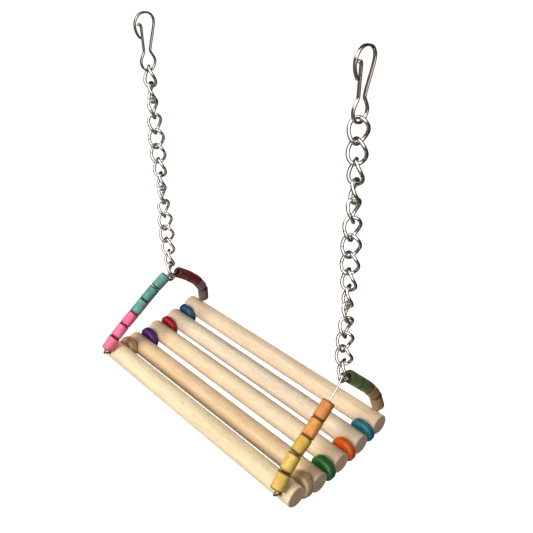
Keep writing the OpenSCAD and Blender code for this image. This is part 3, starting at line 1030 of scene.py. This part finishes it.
@dataclass
class Bail:
    """One bent wire with its hooks, tube beads and spacers.

    Its own plane has Y along the wire line of the bench and Z up the bail.
    """

    side: Side
    # Steps from one point to the next: of the swept wire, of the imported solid,
    # of the hooks and of the stretch through the bench
    steps: int = 8
    solid_steps: int = 3
    hook_steps: int = 3
    floor_steps: int = 4
    # The leg's point from which its beads stand
    beads_from: int = 2
    # Solid steps before the hook in which the leg leaves the bail's plane
    shift_steps: int = 5
    # How far inside its dowel each straight bore ends
    bore_end: float = 1.0
    # How far past a bead the slope of the next one is read
    look_ahead: float = 0.8
    # How far past the top bead the wire's painted shade reaches
    shade_past: float = 0.4
    bead_bore_edge: float = 0.35
    spacer_bore_edge: float = 0.3
    wire_sides: int = 14
    bead_sides: int = 64
    spacer_sides: int = 72
    bead_seed: int = 3

    runs: ClassVar[dict[Side, tuple[BeadRun, ...]]] = {
        Side.LEFT: (BeadRun(Leg.FRONT, Tier.LOW, 0, 2, "bead_pink"),
                    BeadRun(Leg.FRONT, Tier.HIGH, 3, 5, "bead_teal"),
                    BeadRun(Leg.BACK, Tier.LOW, 0, 1, "bead_mauve"),
                    BeadRun(Leg.BACK, Tier.HIGH, 2, 3, "bead_red")),
        Side.RIGHT: (BeadRun(Leg.FRONT, Tier.LOW, 0, 2, "bead_yellow"),
                     BeadRun(Leg.FRONT, Tier.HIGH, 3, 4, "bead_orange"),
                     BeadRun(Leg.BACK, Tier.LOW, 0, 1, "bead_tan"),
                     BeadRun(Leg.BACK, Tier.HIGH, 2, 3, "bead_green"))}
    spacer_slots: ClassVar[dict[Side, tuple[str, ...]]] = {
        Side.LEFT: ("spacer_natural", "spacer_purple", "spacer_red", "spacer_blue"),
        Side.RIGHT: ("spacer_natural", "spacer_green", "spacer_orange", "spacer_teal")}
    # Each leg's points: share of the way from the dowel to the apex, and bulge
    legs: ClassVar[dict[tuple[Side, Leg], tuple[tuple[float, float], ...]]] = {
        (Side.LEFT, Leg.FRONT): ((-0.031, 4.6), (0.014, 5.3), (0.157, 6.6), (0.304, 7.0),
                                 (0.464, 6.8), (0.631, 6.9), (0.804, 6.9), (0.983, 5.6)),
        (Side.LEFT, Leg.BACK): ((0.014, -1.3), (0.043, -3.2), (0.224, -9.0), (0.446, -10.6),
                                (0.684, -9.2), (0.934, -6.8)),
        (Side.RIGHT, Leg.FRONT): ((-0.025, 4.9), (0.017, 5.3), (0.153, 6.4), (0.305, 6.1),
                                  (0.469, 3.8), (0.628, 2.1), (0.799, 0.8), (0.895, 0.5)),
        (Side.RIGHT, Leg.BACK): ((0.018, -1.3), (0.059, -3.3), (0.246, -7.2), (0.461, -7.2),
                                 (0.684, -5.4), (0.905, -3.6))}
    # The angles in degrees that each hook's wire goes round
    hook_angles: ClassVar[dict[Leg, range]] = {
        Leg.FRONT: range(118, -126, -27), Leg.BACK: range(50, 294, 27)}

    def __post_init__(self) -> None:
        """Works out the bail's apex and where its plane stands."""
        tilt = math.radians(SIZES.bench_tilt)
        reach = SIZES.hole_x(self.side) - SIZES.chain_x
        rise = SIZES.apex_z(self.side) * math.cos(tilt) - SIZES.chain_y * math.sin(tilt)
        along = SIZES.chain_y * math.cos(tilt) + SIZES.apex_z(self.side) * math.sin(tilt)
        sign = self.side.value
        self.apex = Vector((0.0, along, math.hypot(reach, rise)))
        self.place = (
            Matrix.Translation((sign * SIZES.hole_x(self.side), -SIZES.chain_y, -SIZES.hang_z))
            @ Matrix.Rotation(tilt, 4, "X")
            @ Matrix.Rotation(-sign * math.atan2(reach, rise), 4, "Y"))

    def build(self, wire_tree: GeometryTree, turning_tree: GeometryTree,
              finishes: dict[str, bpy.types.Material]) -> None:
        """Bends the wire and threads its beads and spacers.

        Args:
            wire_tree: The tree that sweeps a round wire.
            turning_tree: The tree that turns beads.
            finishes: The material for each slot.
        """
        self._wire(wire_tree, finishes["wire_steel"])
        for run in self.runs[self.side]:
            self._beads(run, turning_tree, finishes[run.slot])
        for number, slot in enumerate(self.spacer_slots[self.side], 1):
            self._spacer(number, slot, turning_tree, finishes[slot])

    def _in_place(self, points: Iterable[Vector]) -> list[Vector]:
        """Points of the bail's plane in millimetres, brought to their place in metres."""
        return [(self.place @ point) * MM for point in points]

    def _on_bore(self, number: int, reach: float) -> Vector:
        """A point on a dowel's bore.

        Args:
            number: The dowel's number from the front, from 1.
            reach: The distance from the dowel's middle, backwards.

        Returns:
            The point, in the bail's plane.
        """
        slope = math.radians(SIZES.dowel_bore_slope[number - 1])
        along = Vector((0.0, math.cos(slope), math.sin(slope)))
        return SIZES.dowel_middle(number) + reach * along

    def _floor_line(self) -> list[Vector]:
        """The wire's line through the bench: straight inside each dowel."""
        reach = SIZES.dowel_d / 2 - self.bore_end
        return [self._on_bore(number, end) for number in range(1, len(SIZES.dowel_z) + 1)
                for end in (-reach, reach)]

    def _hook(self, leg: Leg) -> list[Vector]:
        """The hook of a leg round the last link.

        Args:
            leg: The leg.

        Returns:
            The points of its bend, and the end of its cut tail.
        """
        turns = [Vector((0.0, math.cos(math.radians(a)), math.sin(math.radians(a))))
                 for a in self.hook_angles[leg]]
        points = [self.apex + SIZES.hook_r * turn for turn in turns]
        return points + [points[-1] + SIZES.hook_tail * (points[-1] - points[-2]).normalized()]

    def _leg_points(self, leg: Leg) -> list[Vector]:
        """The points that a leg passes.

        Args:
            leg: The leg.

        Returns:
            Its points from inside the outer dowel to the start of its hook.
        """
        front = leg is Leg.FRONT
        half = SIZES.dowel_d / 2
        foot = self._on_bore(1, -half) if front else self._on_bore(len(SIZES.dowel_z), half)
        start = self._floor_line()[0 if front else -1]
        way = self.apex - foot
        off = Vector((0.0, -way.z, way.y)).normalized()
        shape = [foot + share * way + bulge * off for share, bulge in self.legs[self.side, leg]]
        return [start, *shape, self._hook(leg)[0]]

    def _leg_line(self, leg: Leg) -> list[Vector]:
        """The wire's line up a leg and round its hook, which stands off the plane.

        Args:
            leg: The leg.

        Returns:
            The points of the line.
        """
        curve = spline(self._leg_points(leg), self.steps)
        curl = self._hook(leg)
        curl = spline(curl[:-1], self.hook_steps) + curl[-1:]
        shift = SIZES.hook_pitch / 2 * (1 if leg is Leg.FRONT else -1)
        ramp = self.shift_steps * self.steps / self.solid_steps
        start = len(curve) - 1 - ramp
        line = []
        for i, point in enumerate(curve + curl[1:]):
            share = min(max((i - start) / ramp, 0.0), 1.0)
            line.append(point + Vector((shift * share, 0.0, 0.0)))
        return line

    def _bead_places(self, leg: Leg) -> list[tuple[Vector, Vector]]:
        """Where the beads of a leg stand, each close on the one below.

        Args:
            leg: The leg.

        Returns:
            Each bead's middle and direction from the dowel up, in the bail's plane.
        """
        line = spline(self._leg_points(leg), self.solid_steps)
        route = Route(line[self.beads_from * self.solid_steps:])
        sizes = [run.bead_length for run in self.runs[self.side] if run.leg is leg
                 for _ in range(run.first, run.last + 1)]
        places, run, before = [], 0.0, 0.0
        for k, size in enumerate(sizes):
            if k:
                following = run + before + SIZES.bead_play
                bend = abs(route.slope(following + self.look_ahead, size)
                           - route.slope(run, before))
                run = following + (SIZES.bead_d - SIZES.bead_round) * math.tan(bend / 2)
            low, high = route.at(run), route.at(run + size)
            places.append(((low + high) / 2, (high - low).normalized()))
            before = size
        return places

    def _painted_shade_marks(self, leg: Leg) -> list[float]:
        """Which points of a leg's line get painted shade: those under and between the beads, and
        the foot below them.

        Args:
            leg: The leg.

        Returns:
            One for each point below the end of the top bead, zero for each above.
        """
        middle, way = self._bead_places(leg)[-1]
        top = SIZES.high_bead_length / 2 + self.shade_past
        return [float((point - middle).dot(way) < top) for point in self._leg_line(leg)]

    def _wire(self, tree: GeometryTree, finish: bpy.types.Material) -> None:
        """Sweeps the whole wire from the front hook to the back hook.

        Args:
            tree: The tree that sweeps a round wire.
            finish: The wire's material.
        """
        inner = spline(self._floor_line(), self.floor_steps)[1:-1]
        line = self._leg_line(Leg.FRONT)[::-1] + inner + self._leg_line(Leg.BACK)
        mesh = path_mesh(self._in_place(line))
        # Painted shade along the bead runs and the feet, and inside the dowels
        painted_shade = mesh.attributes.new("painted_shade", "FLOAT", "POINT")
        painted_shade.data.foreach_set("value", self._painted_shade_marks(Leg.FRONT)[::-1]
                                 + [1.0] * len(inner) + self._painted_shade_marks(Leg.BACK))
        piece = tree.make(f"{self.side.word}_bail_wire", mesh, {
            "Wire": SIZES.wire_d * MM, "Sides": self.wire_sides, "Finish": finish})
        settle(piece, "bench", "wire_steel", f"{self.side.word}_wire")

    def _thread(self, places: Sequence[tuple[Vector, Vector]]) -> bpy.types.Mesh:
        """The points that beads are threaded on.

        Args:
            places: Each bead's middle and direction, in the bail's plane.

        Returns:
            A mesh of bare points in place, with the directions in the attribute axis.
        """
        turn = self.place.to_3x3()
        mesh = path_mesh(self._in_place(middle for middle, _ in places), joined=False)
        axis = mesh.attributes.new("axis", "FLOAT_VECTOR", "POINT")
        axis.data.foreach_set("vector", [c for _, way in places for c in turn @ way])
        return mesh

    def _beads(self, run: BeadRun, tree: GeometryTree, finish: bpy.types.Material) -> None:
        """Threads the beads of one colour on a leg.

        Args:
            run: The beads.
            tree: The tree that turns beads.
            finish: Their material.
        """
        place = f"{self.side.word}_{run.leg.value}"
        thread = self._thread(self._bead_places(run.leg)[run.first:run.last + 1])
        piece = tree.make(f"{place}_tube_beads_{run.tier.value}", thread, {
            "Diameter": SIZES.bead_d * MM, "Length": (run.bead_length + SIZES.bead_play) * MM,
            "Bore": SIZES.bead_bore_d * MM, "Edge": SIZES.bead_round * MM,
            "Bore Edge": self.bead_bore_edge * MM, "Sides": self.bead_sides,
            "Seed": self.bead_seed + run.first, "Finish": finish})
        settle(piece, "bench", run.slot, f"{place}_beads_{run.tier.value}")

    def _spacer(self, number: int, slot: str, tree: GeometryTree,
                finish: bpy.types.Material) -> None:
        """Threads one flat round spacer between two dowels.

        Args:
            number: The spacer's number from the front, from 1.
            slot: The record's material slot that it belongs to.
            tree: The tree that turns beads.
            finish: Its material.
        """
        here, there = SIZES.dowel_middle(number), SIZES.dowel_middle(number + 1)
        thick = (there - here).length - SIZES.dowel_d - SIZES.spacer_play
        thread = self._thread([((here + there) / 2, (there - here).normalized())])
        piece = tree.make(f"{self.side.word}_round_spacer_{number}", thread, {
            "Diameter": SIZES.spacer_d * MM, "Length": thick * MM,
            "Bore": SIZES.spacer_bore_d * MM, "Edge": thick / 2 * SIZES.spacer_round * MM,
            "Bore Edge": self.spacer_bore_edge * MM, "Sides": self.spacer_sides,
            "Seed": number, "Finish": finish})
        settle(piece, "bench", slot, f"{self.side.word}_spacer_{number}")


@dataclass
class DowelFloor:
    """The five dowels: the part's own solids, each in wood of its own tone."""

    groups: ShaderGroups
    seed_step: float = 0.053
    # Each dowel's pale and deep colour as displayed, from front to back; the second dowel's are
    # lifted as painted light against the shadow that the front dowel casts on it
    tones: tuple[tuple[Shown, Shown], ...] = (
        ((245, 228, 190), (231, 206, 165)), ((240, 212, 172), (224, 188, 145)),
        ((244, 222, 187), (228, 199, 159)), ((240, 223, 196), (224, 197, 168)),
        ((243, 221, 190), (227, 199, 163)))

    def dress(self) -> None:
        """Gives each dowel its wood."""
        tilt = Matrix.Rotation(math.radians(SIZES.bench_tilt), 4, "X")
        for number, (pale, deep) in enumerate(self.tones, 1):
            centre = tilt @ SIZES.dowel_middle(number)
            centre += Vector((0.0, -SIZES.chain_y, -SIZES.hang_z))
            wood = DowelWood(f"dowel_wood_{number}", linear(*pale), linear(*deep),
                             self.seed_step * number, centre * MM)
            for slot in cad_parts[f"dowel_{number}"].material_slots:
                slot.material = wood.build(self.groups)
            LOG.info("dowel_%d wears %s", number, wood.name)


class Workshop:
    """Holds the trees and the finishes, and builds the whole bench with them."""

    # Displayed colours of each dye: where it is thin, along the grain, and on rims, which also
    # carry painted shade
    dyes: ClassVar[dict[str, tuple[Shown, ...]]] = {
        "bead_pink": ((255, 142, 174), (214, 58, 108), (136, 18, 62)),
        "bead_teal": ((114, 172, 164), (40, 98, 92), (14, 42, 42)),
        "bead_mauve": ((146, 120, 123), (96, 74, 78), (50, 34, 38)),
        "bead_red": ((152, 62, 60), (112, 30, 32), (52, 12, 14)),
        "bead_yellow": ((236, 201, 104), (190, 142, 46), (98, 62, 14)),
        "bead_orange": ((240, 170, 92), (190, 100, 36), (94, 42, 12)),
        "bead_tan": ((188, 154, 112), (144, 112, 74), (80, 58, 34)),
        "bead_green": ((142, 158, 102), (90, 110, 60), (38, 48, 22))}
    paints: ClassVar[dict[str, tuple[Shown, ...]]] = {
        "spacer_natural": ((224, 192, 144), (174, 138, 98), (122, 86, 52)),
        "spacer_purple": ((92, 46, 142), (48, 12, 92), (28, 6, 58)),
        "spacer_red": ((190, 18, 30), (152, 6, 18), (96, 4, 10)),
        "spacer_blue": ((10, 90, 130), (2, 64, 104), (2, 36, 64)),
        "spacer_green": ((44, 118, 56), (22, 92, 38), (8, 56, 20)),
        "spacer_orange": ((240, 106, 18), (222, 82, 8), (160, 50, 4)),
        "spacer_teal": ((26, 130, 140), (12, 102, 114), (4, 62, 72))}
    # Past the spacers' faces, so that their paint has no darker rim
    spacer_reach: ClassVar[float] = 0.0046

    def __init__(self) -> None:
        """Builds the shared groups, the trees and every finish."""
        self.groups = ShaderGroups()
        self.link_tree = twisted_link_tree()
        self.wire_tree = round_wire_tree()
        self.strip_tree = bent_strip_tree()
        self.turning_tree = threaded_turning_tree()
        self.finishes = {finish.name: finish.build(self.groups) for finish in self._finishes()}

    def _finishes(self) -> Iterable[Finish]:
        """Every finish of the bench but the dowels'.

        Yields:
            The finishes, each named as its slot.
        """
        yield BrightMetal("chain_nickel", linear(232, 230, 226), linear(206, 202, 196),
                          roughness=0.1, marks=1600.0, seam=True)
        yield BrightMetal("clip_nickel", linear(216, 206, 197), linear(182, 170, 160),
                          roughness=0.14, marks=1200.0)
        yield BrightMetal("wire_steel", linear(222, 221, 219), linear(190, 187, 183),
                          roughness=0.16, marks=2600.0, threaded=True)
        runs = [run for side in Side for run in Bail.runs[side]]
        for number, run in enumerate(runs):
            tones = (linear(*tone) for tone in self.dyes[run.slot])
            yield DyedWood(run.slot, *tones, run.bead_length / 2 * MM, seed=0.11 * number)
        for number, (name, paint) in enumerate(self.paints.items()):
            tones = (linear(*tone) for tone in paint)
            yield DyedWood(name, *tones, self.spacer_reach, roughness=0.3, coat=0.45,
                           seed=1.0 + 0.13 * number)

    def build(self) -> None:
        """Builds the chains, the clips and the bails, and dresses the dowels."""
        for side in Side:
            HangingChain(side, self.link_tree, self.finishes["chain_nickel"]).build()
            StripClip(side, self.strip_tree, self.finishes["clip_nickel"]).build()
            Bail(side).build(self.wire_tree, self.turning_tree, self.finishes)
        DowelFloor(self.groups).dress()


@dataclass(frozen=True)
class Lamp:
    """A square lamp of the studio, its size in metres and its power in watts."""

    name: str
    place: Triple
    size: float
    power: float


@dataclass(frozen=True)
class BrightSide:
    """A bright side of the room that the metal mirrors.

    Its half angles, in degrees, are those of the full light and of its edge.
    """

    toward: Triple
    full: float
    edge: float
    strength: float


@dataclass
class Studio:
    """Pale floor, soft lamps, a dim room for the metal to mirror, and the camera."""

    camera_place: Vector = Vector((0.266014, -0.232248, 0.063964))
    azimuth: float = 46.521
    elevation: float = 31.089
    roll: float = -0.896
    lens: float = 42.578
    floor_z: float = -0.62
    floor_half: float = 14.0
    floor_grey: float = 0.3
    # How strongly the floor shines to the camera under the bench and far from it,
    # and the distances between which that changes, in metres
    floor_glow: tuple[float, float] = (0.9, 1.0)
    glow_reach: tuple[float, float] = (0.6, 1.6)
    # Where the soft light comes from, its least and most strength, and how far
    # toward that side each is reached
    fill_from: Triple = (0.0, -0.75, -0.66)
    fill_light: tuple[float, float] = (0.07, 0.78)
    fill_spread: tuple[float, float] = (-0.2, 1.0)
    room_tone: Triple = linear(255, 249, 243)
    room_light: float = 0.05
    bright_sides: tuple[BrightSide, ...] = (
        BrightSide((0.572, -0.572, 0.588), 32.0, 58.0, 2.0),
        BrightSide((-0.47, -0.47, 0.747), 17.0, 28.0, 2.0),
        BrightSide((0.0, -0.866, -0.5), 15.0, 75.0, 0.14))
    lamps: tuple[Lamp, ...] = (
        Lamp("key", (-0.12, -0.95, 0.58), 0.75, 16.6),
        Lamp("top", (-0.1, -0.5, 0.95), 0.6, 1.6),
        Lamp("fill", (0.95, -0.35, 0.15), 0.8, 1.7),
        Lamp("back", (-0.3, 1.0, -0.13), 0.25, 8.5))
    lamp_target: Vector = Vector((0.0, 0.0, -0.18))

    def build(self) -> None:
        """Sets up the whole studio."""
        bpy.context.scene.view_settings.view_transform = "Standard"
        self._camera()
        self._world()
        self._floor()
        self._lamps()

    def _camera(self) -> None:
        """Puts the camera where the photograph was taken."""
        data = bpy.data.cameras.new("photo_camera")
        data.lens = self.lens
        data.sensor_width = 36.0
        data.clip_start = 0.01
        turn, rise = math.radians(self.azimuth), math.radians(self.elevation)
        roll = math.radians(self.roll)
        ahead = Vector((-math.sin(turn) * math.cos(rise), math.cos(turn) * math.cos(rise),
                        -math.sin(rise)))
        right = Vector((math.cos(turn), math.sin(turn), 0.0))
        above = right.cross(ahead)
        across = right * math.cos(roll) + above * math.sin(roll)
        upward = above * math.cos(roll) - right * math.sin(roll)
        axes = Matrix((across, upward, -ahead)).transposed().to_4x4()
        camera = put_in_scene("photo_camera", data)
        camera.matrix_world = Matrix.Translation(self.camera_place) @ axes
        bpy.context.scene.camera = camera

    def _world(self) -> None:
        """A white surround for the camera, a soft fill, and a dim room for mirrors."""
        world = bpy.data.worlds.new("studio")
        bpy.context.scene.world = world
        world.use_nodes = True
        graph = NodeGraph(world.node_tree)
        graph.tree.nodes.clear()
        rays = graph.add("ShaderNodeLightPath").outputs
        way = graph.add("ShaderNodeTexCoord").outputs["Generated"]
        seen = graph.math("MAXIMUM", rays["Is Camera Ray"], rays["Is Transmission Ray"])
        soft = graph.ramp(graph.dot(way, self.fill_from), *self.fill_spread, *self.fill_light)
        fill = graph.add("ShaderNodeBackground", {
            "Color": WHITE, "Strength": graph.math("MAXIMUM", seen, soft)})
        glow: Number = self.room_light
        for side in self.bright_sides:
            edge, full = math.cos(math.radians(side.edge)), math.cos(math.radians(side.full))
            near = graph.dot(way, side.toward)
            glow = graph.math("ADD", graph.ramp(near, edge, full, 0.0, side.strength), glow)
        room = graph.add("ShaderNodeBackground", {
            "Color": (*self.room_tone, 1.0), "Strength": glow})
        sky = graph.add("ShaderNodeMixShader", {
            0: rays["Is Glossy Ray"], 1: fill.outputs[0], 2: room.outputs[0]})
        graph.add("ShaderNodeOutputWorld", {0: sky.outputs[0]})

    def _floor(self) -> None:
        """A white floor far below, which keeps the bench's faint shadow."""
        half = self.floor_half
        corners = [(x, y, self.floor_z) for x, y in ((-half, -half), (half, -half),
                                                     (half, half), (-half, half))]
        mesh = bpy.data.meshes.new("studio_floor")
        mesh.from_pydata(corners, [], [(0, 1, 2, 3)])
        material = bpy.data.materials.new("floor_white")
        material.use_nodes = True
        graph = NodeGraph(material.node_tree)
        graph.tree.nodes.clear()
        rays = graph.add("ShaderNodeLightPath").outputs
        reach = graph.add("ShaderNodeVectorMath", {
            0: graph.add("ShaderNodeTexCoord").outputs["Object"]}, operation="LENGTH")
        glow = graph.ramp(reach.outputs["Value"], *self.glow_reach, *self.floor_glow)
        light = graph.add("ShaderNodeEmission", {
            "Color": WHITE, "Strength": graph.math("MULTIPLY", rays["Is Camera Ray"], glow)})
        plain = graph.add("ShaderNodeBsdfDiffuse", {"Color": (*[self.floor_grey] * 3, 1.0)})
        both = graph.add("ShaderNodeAddShader", {0: plain.outputs[0], 1: light.outputs[0]})
        clear = graph.add("ShaderNodeBsdfTransparent")
        shown = graph.add("ShaderNodeMixShader", {
            0: rays["Is Glossy Ray"], 1: both.outputs[0], 2: clear.outputs[0]})
        graph.add("ShaderNodeOutputMaterial", {0: shown.outputs[0]})
        mesh.materials.append(material)
        put_in_scene("studio_floor", mesh)

    def _lamps(self) -> None:
        """A large key lamp in front, and weak ones above, at the right and behind."""
        for lamp in self.lamps:
            data = bpy.data.lights.new(f"{lamp.name}_lamp", "AREA")
            data.size = lamp.size
            data.energy = lamp.power
            hung = put_in_scene(f"{lamp.name}_lamp", data)
            hung.visible_glossy = False
            hung.location = lamp.place
            way = self.lamp_target - Vector(lamp.place)
            hung.rotation_euler = way.to_track_quat("-Z", "Y").to_euler()


def main() -> None:
    """Builds the studio and the bench."""
    logging.basicConfig(level=logging.INFO, format="%(name)s: %(message)s")
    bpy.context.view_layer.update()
    Studio().build()
    Workshop().build()


if __name__ == "__main__":
    main()
